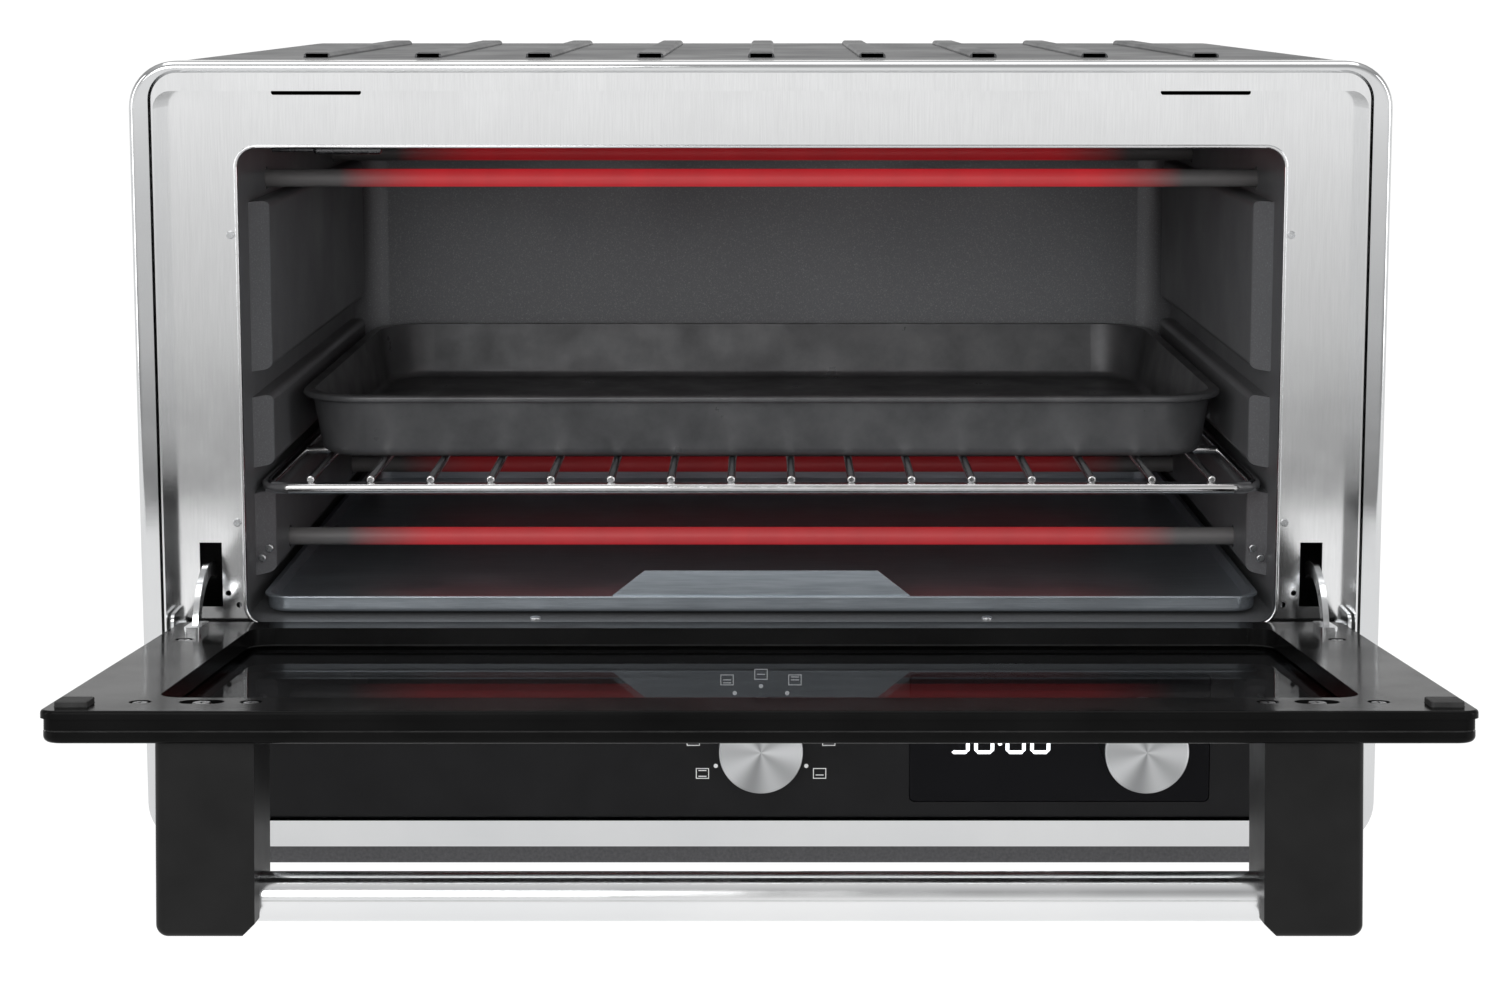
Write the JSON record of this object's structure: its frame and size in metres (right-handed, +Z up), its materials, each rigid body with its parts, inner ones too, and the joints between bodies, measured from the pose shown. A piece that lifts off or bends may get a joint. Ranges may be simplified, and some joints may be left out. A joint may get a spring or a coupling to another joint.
{
  "type": "toaster oven",
  "caption": "Countertop toaster oven with a drop-down glass door, tube heating elements, wire rack, baking pan, crumb tray and two control dials.",
  "frame": {"origin": "centre of the bounding box with the door open, at the feet's lower face", "axes": "+Z up, the door and controls face -Y, +X to the viewer's right"},
  "size_m": [0.43, 0.502, 0.2855],
  "materials": {
    "polished_steel": "mirror polished",
    "bright_steel": "bright, nearly mirror",
    "charcoal_metal": "satin",
    "galvanised_sheet": "satin",
    "cavity_enamel": "satin enamel",
    "small_steel": "plain",
    "hinge_chrome": "plated",
    "rack_chrome": "plated wire",
    "element_sheath": "glowing in the middle, grey at the ends",
    "ceramic": "matt",
    "pan_coating": "satin non-stick",
    "tray_steel": "satin",
    "door_enamel": "gloss enamel",
    "door_seam": "matt",
    "glass": "clear tempered",
    "rubber": "matt",
    "handle_black": "satin",
    "fascia_black": "satin",
    "lens_black": "gloss",
    "dial_metal": "spun",
    "shaft_steel": "turned",
    "control_plastic": "moulded",
    "circuit_board": "solder mask"
  },
  "bodies": {
    "oven": {"bezel": "polished_steel", "face_plate": "bright_steel", "outer_case": "charcoal_metal", "base_plate": "galvanised_sheet", "back_panel": "galvanised_sheet", "liner_left": "cavity_enamel", "liner_right": "cavity_enamel", "liner_back": "cavity_enamel", "liner_roof": "cavity_enamel", "liner_floor": "cavity_enamel", "case_screws": "small_steel", "face_screws": "small_steel", "cavity_rivets": "small_steel", "sensor_probe": "small_steel", "hinge_bracket_left": "hinge_chrome", "hinge_bracket_right": "hinge_chrome", "element_upper_front": "element_sheath", "element_upper_rear": "element_sheath", "element_lower_front": "element_sheath", "element_lower_rear": "element_sheath", "element_ceramics": "ceramic", "feet": "rubber", "fascia": "fascia_black", "display_lens": "lens_black", "mode_switch": "control_plastic", "time_encoder": "control_plastic", "led_module": "control_plastic", "cord_gland": "control_plastic", "display_board": "circuit_board", "power_board": "circuit_board"},
    "door": {"door_inner_frame": "door_enamel", "door_outer_frame": "door_enamel", "door_spacer": "door_seam", "door_glass": "glass", "door_screws": "small_steel", "door_bumpers": "rubber", "door_stay_left": "hinge_chrome", "door_stay_right": "hinge_chrome", "handle_bracket_left": "handle_black", "handle_bracket_right": "handle_black", "handle_bar": "polished_steel"},
    "mode_dial": {"mode_dial": "dial_metal", "mode_shaft": "shaft_steel"},
    "time_dial": {"time_dial": "dial_metal", "time_shaft": "shaft_steel"},
    "rack": {"rack": "rack_chrome"},
    "pan": {"baking_pan": "pan_coating"},
    "tray": {"crumb_tray": "tray_steel"}
  },
  "joints": [
    {"name": "door_hinge", "type": "hinge", "parent": "oven", "child": "door", "pos_m": [0, -0.06242, 0.0846], "axis": [-1, 0, 0], "range_deg": [0, 84.5]},
    {"name": "mode_turn", "type": "hinge", "parent": "oven", "child": "mode_dial", "pos_m": [0, -0.07002, 0.0473], "axis": [0, -1, 0], "range_deg": [-120, 120]},
    {"name": "time_turn", "type": "hinge", "parent": "oven", "child": "time_dial", "pos_m": [0.133, -0.07002, 0.0473], "axis": [0, -1, 0], "continuous": true},
    {"name": "rack_slide", "type": "slide", "parent": "oven", "child": "rack", "axis": [0, -1, 0], "range_m": [0, 0.024]},
    {"name": "pan_slide", "type": "slide", "parent": "rack", "child": "pan", "axis": [0, -1, 0], "range_m": [0, 0.03]},
    {"name": "tray_slide", "type": "slide", "parent": "oven", "child": "tray", "axis": [0, -1, 0], "range_m": [0, 0.011]}
  ]
}
